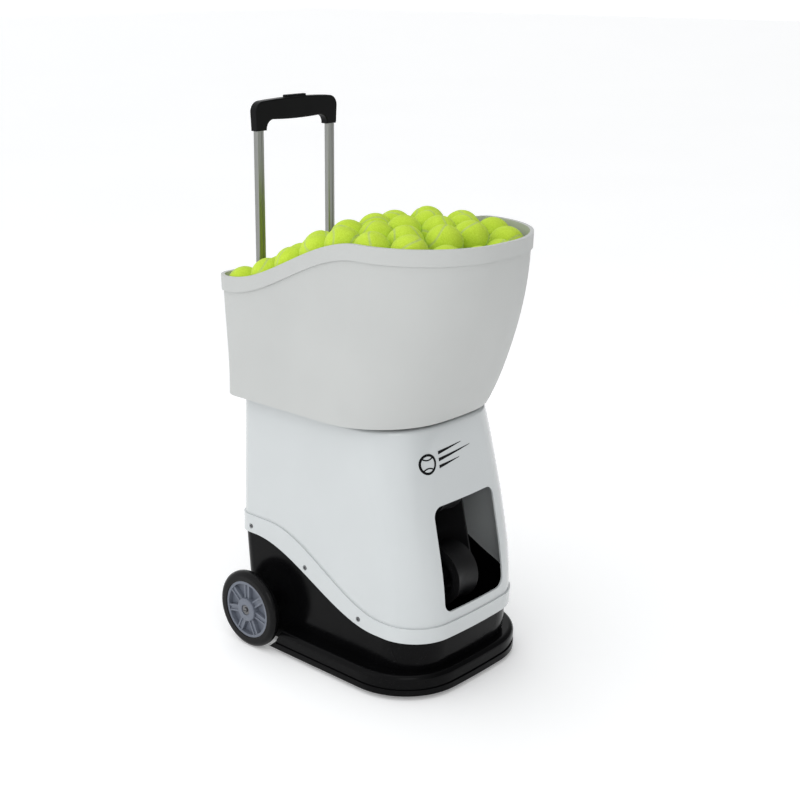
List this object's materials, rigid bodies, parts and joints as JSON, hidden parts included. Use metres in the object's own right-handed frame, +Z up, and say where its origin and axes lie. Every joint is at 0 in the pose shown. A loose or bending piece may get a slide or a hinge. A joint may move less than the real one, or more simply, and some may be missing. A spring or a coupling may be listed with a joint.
{
  "type": "tennis ball machine",
  "caption": "Wheeled tennis ball machine: flared hopper with an S-curved rim, white housing with a launch window, black base, transport wheels and a telescopic handle.",
  "frame": {"origin": "centre of the bounding box's bottom, on the ground", "axes": "+X to the right seen from the front, the front and its launch window face -Y, +Z up"},
  "size_m": [0.4206, 0.5344, 1.035],
  "materials": {
    "housing_white": "glossy cool white moulding",
    "hopper_white": "satin white moulding",
    "base_black": "high gloss black moulding",
    "inner_black": "fine textured black plastic",
    "plate_steel": "black painted sheet steel",
    "bracket_steel": "black painted sheet steel",
    "foot_rubber": "matt rubber",
    "screw_chrome": "bright plated steel",
    "shaft_steel": "turned steel",
    "motor_metal": "zinc plated motor can",
    "battery_plastic": "dark moulded case",
    "board_green": "coated circuit board",
    "display_glass": "smoked display window",
    "key_plastic": "soft grey keys",
    "tyre_black": "smooth glossy solid tyre",
    "hub_grey": "blue-grey moulding",
    "tube_aluminium": "drawn anodised tube",
    "grip_black": "satin black moulding",
    "tread_rubber": "grippy rubber"
  },
  "bodies": {
    "chassis": {"upper_housing": "housing_white", "lower_housing": "base_black", "bumper_skirt": "base_black", "base_plate": "plate_steel", "front_feet": "foot_rubber", "housing_screws": "screw_chrome", "feed_tray": "inner_black", "feed_motor": "motor_metal", "drop_chute": "inner_black", "pan_motor": "motor_metal", "turntable_ring": "inner_black", "battery_pack": "battery_plastic", "battery_strap": "bracket_steel", "control_board": "board_green", "board_standoffs": "inner_black", "control_panel": "inner_black", "display_window": "display_glass", "charge_socket": "screw_chrome", "antenna": "foot_rubber", "switch_frame": "inner_black", "wheel_axle": "shaft_steel", "axle_end_screws": "screw_chrome", "axle_spacers": "inner_black", "axle_clamps": "inner_black", "handle_sleeves": "tube_aluminium", "sleeve_collars": "inner_black", "rail_brackets": "inner_black"},
    "hopper": {"hopper_shell": "hopper_white", "hopper_funnel": "hopper_white"},
    "handle": {"handle_grip": "grip_black", "handle_tube_left": "tube_aluminium", "handle_tube_right": "tube_aluminium"},
    "release": {"release_button": "grip_black"},
    "wheel_left": {"tyre_left": "tyre_black", "wheel_hub_left": "hub_grey"},
    "wheel_right": {"tyre_right": "tyre_black", "wheel_hub_right": "hub_grey"},
    "feeder": {"feed_wheel": "inner_black", "feed_wheel_cap": "inner_black", "feed_shaft": "shaft_steel"},
    "pan": {"pan_frame": "bracket_steel", "tilt_motor": "motor_metal"},
    "head": {"head_plate_left": "bracket_steel", "head_plate_right": "bracket_steel", "head_crossbars": "shaft_steel", "head_bearings": "shaft_steel", "tilt_pivot_pins": "shaft_steel", "lower_launch_motor": "motor_metal", "upper_launch_motor": "motor_metal"},
    "lower_launcher": {"lower_launch_hub": "inner_black", "lower_launch_tread": "tread_rubber", "lower_launch_shaft": "shaft_steel"},
    "upper_launcher": {"upper_launch_hub": "inner_black", "upper_launch_tread": "tread_rubber", "upper_launch_shaft": "shaft_steel"},
    "rocker": {"power_rocker": "inner_black"},
    "key_1": {"panel_key_1": "key_plastic"},
    "key_2": {"panel_key_2": "key_plastic"},
    "key_3": {"panel_key_3": "key_plastic"},
    "key_4": {"panel_key_4": "key_plastic"}
  },
  "joints": [
    {"name": "hopper_lift", "type": "slide", "parent": "chassis", "child": "hopper", "axis": [0, 0, 1], "range_m": [0, 0.25]},
    {"name": "handle_slide", "type": "slide", "parent": "chassis", "child": "handle", "axis": [0, 0, 1], "range_m": [-0.36, 0]},
    {"name": "release_press", "type": "slide", "parent": "handle", "child": "release", "axis": [0, 0, -1], "range_m": [0, 0.003], "stiffness_N_per_m": 500},
    {"name": "wheel_left_roll", "type": "hinge", "parent": "chassis", "child": "wheel_left", "pos_m": [-0.195, 0.178, 0.0756], "axis": [1, 0, 0], "continuous": true},
    {"name": "wheel_right_roll", "type": "hinge", "parent": "chassis", "child": "wheel_right", "pos_m": [0.195, 0.178, 0.0756], "axis": [1, 0, 0], "continuous": true},
    {"name": "feed_turn", "type": "hinge", "parent": "chassis", "child": "feeder", "pos_m": [0, 0.06, 0.44], "axis": [0, 0, 1], "continuous": true},
    {"name": "pan_swing", "type": "hinge", "parent": "chassis", "child": "pan", "pos_m": [0, -0.038, 0.08], "axis": [0, 0, 1], "range_deg": [-10, 10]},
    {"name": "head_tilt", "type": "hinge", "parent": "pan", "child": "head", "pos_m": [0, -0.038, 0.275], "axis": [1, 0, 0], "range_deg": [-6, 6]},
    {"name": "lower_launch_spin", "type": "hinge", "parent": "head", "child": "lower_launcher", "pos_m": [0, -0.145, 0.187], "axis": [1, 0, 0], "continuous": true},
    {"name": "upper_launch_spin", "type": "hinge", "parent": "head", "child": "upper_launcher", "pos_m": [0, -0.108, 0.35], "axis": [1, 0, 0], "continuous": true},
    {"name": "rocker_throw", "type": "hinge", "parent": "chassis", "child": "rocker", "pos_m": [-0.034, 0.227, 0.322], "axis": [1, 0, 0], "range_deg": [0, 16]},
    {"name": "key_1_press", "type": "slide", "parent": "chassis", "child": "key_1", "axis": [0, -1, 0], "range_m": [0, 0.0015], "stiffness_N_per_m": 300},
    {"name": "key_2_press", "type": "slide", "parent": "chassis", "child": "key_2", "axis": [0, -1, 0], "range_m": [0, 0.0015], "stiffness_N_per_m": 300},
    {"name": "key_3_press", "type": "slide", "parent": "chassis", "child": "key_3", "axis": [0, -1, 0], "range_m": [0, 0.0015], "stiffness_N_per_m": 300},
    {"name": "key_4_press", "type": "slide", "parent": "chassis", "child": "key_4", "axis": [0, -1, 0], "range_m": [0, 0.0015], "stiffness_N_per_m": 300}
  ]
}
